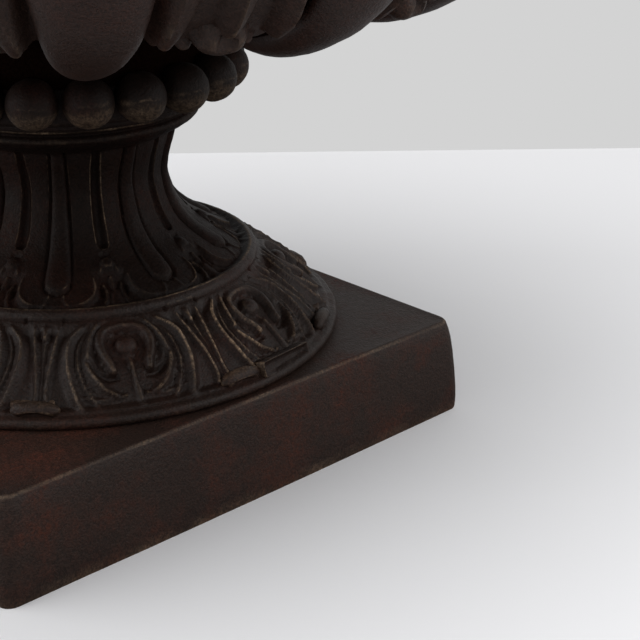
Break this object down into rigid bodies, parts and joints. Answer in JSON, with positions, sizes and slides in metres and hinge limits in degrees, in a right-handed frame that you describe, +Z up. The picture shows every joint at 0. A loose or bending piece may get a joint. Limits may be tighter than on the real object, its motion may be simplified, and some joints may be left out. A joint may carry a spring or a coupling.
{
  "type": "iron planter",
  "caption": "Cast-iron garden urn: a wide lobed bowl with acanthus leaves on a bead ring, ribbed stem, leaf-moulded foot and square plinth, holding a planting.",
  "frame": {"origin": "bottom centre: the middle of the plinth's underside, on the surface that the urn stands on", "axes": "+Z up the stem's axis, +X towards one side of the plinth, and -Y out of the plinth face that the picture shows the largest"},
  "size_m": [0.72, 0.72, 0.44],
  "materials": {
    "cast_iron": "weathered dark brown-black paint on a sand-cast skin, satin, with rust showing through",
    "fastener_steel": "dull galvanised steel, weathered"
  },
  "bodies": {
    "root": {"plinth": "cast_iron", "foot": "cast_iron", "bowl": "cast_iron", "centre_bolt": "fastener_steel", "centre_washer": "fastener_steel", "web_washer": "fastener_steel", "centre_nut": "fastener_steel", "foot_screws": "fastener_steel", "foot_screw_washers": "fastener_steel"}
  },
  "joints": []
}
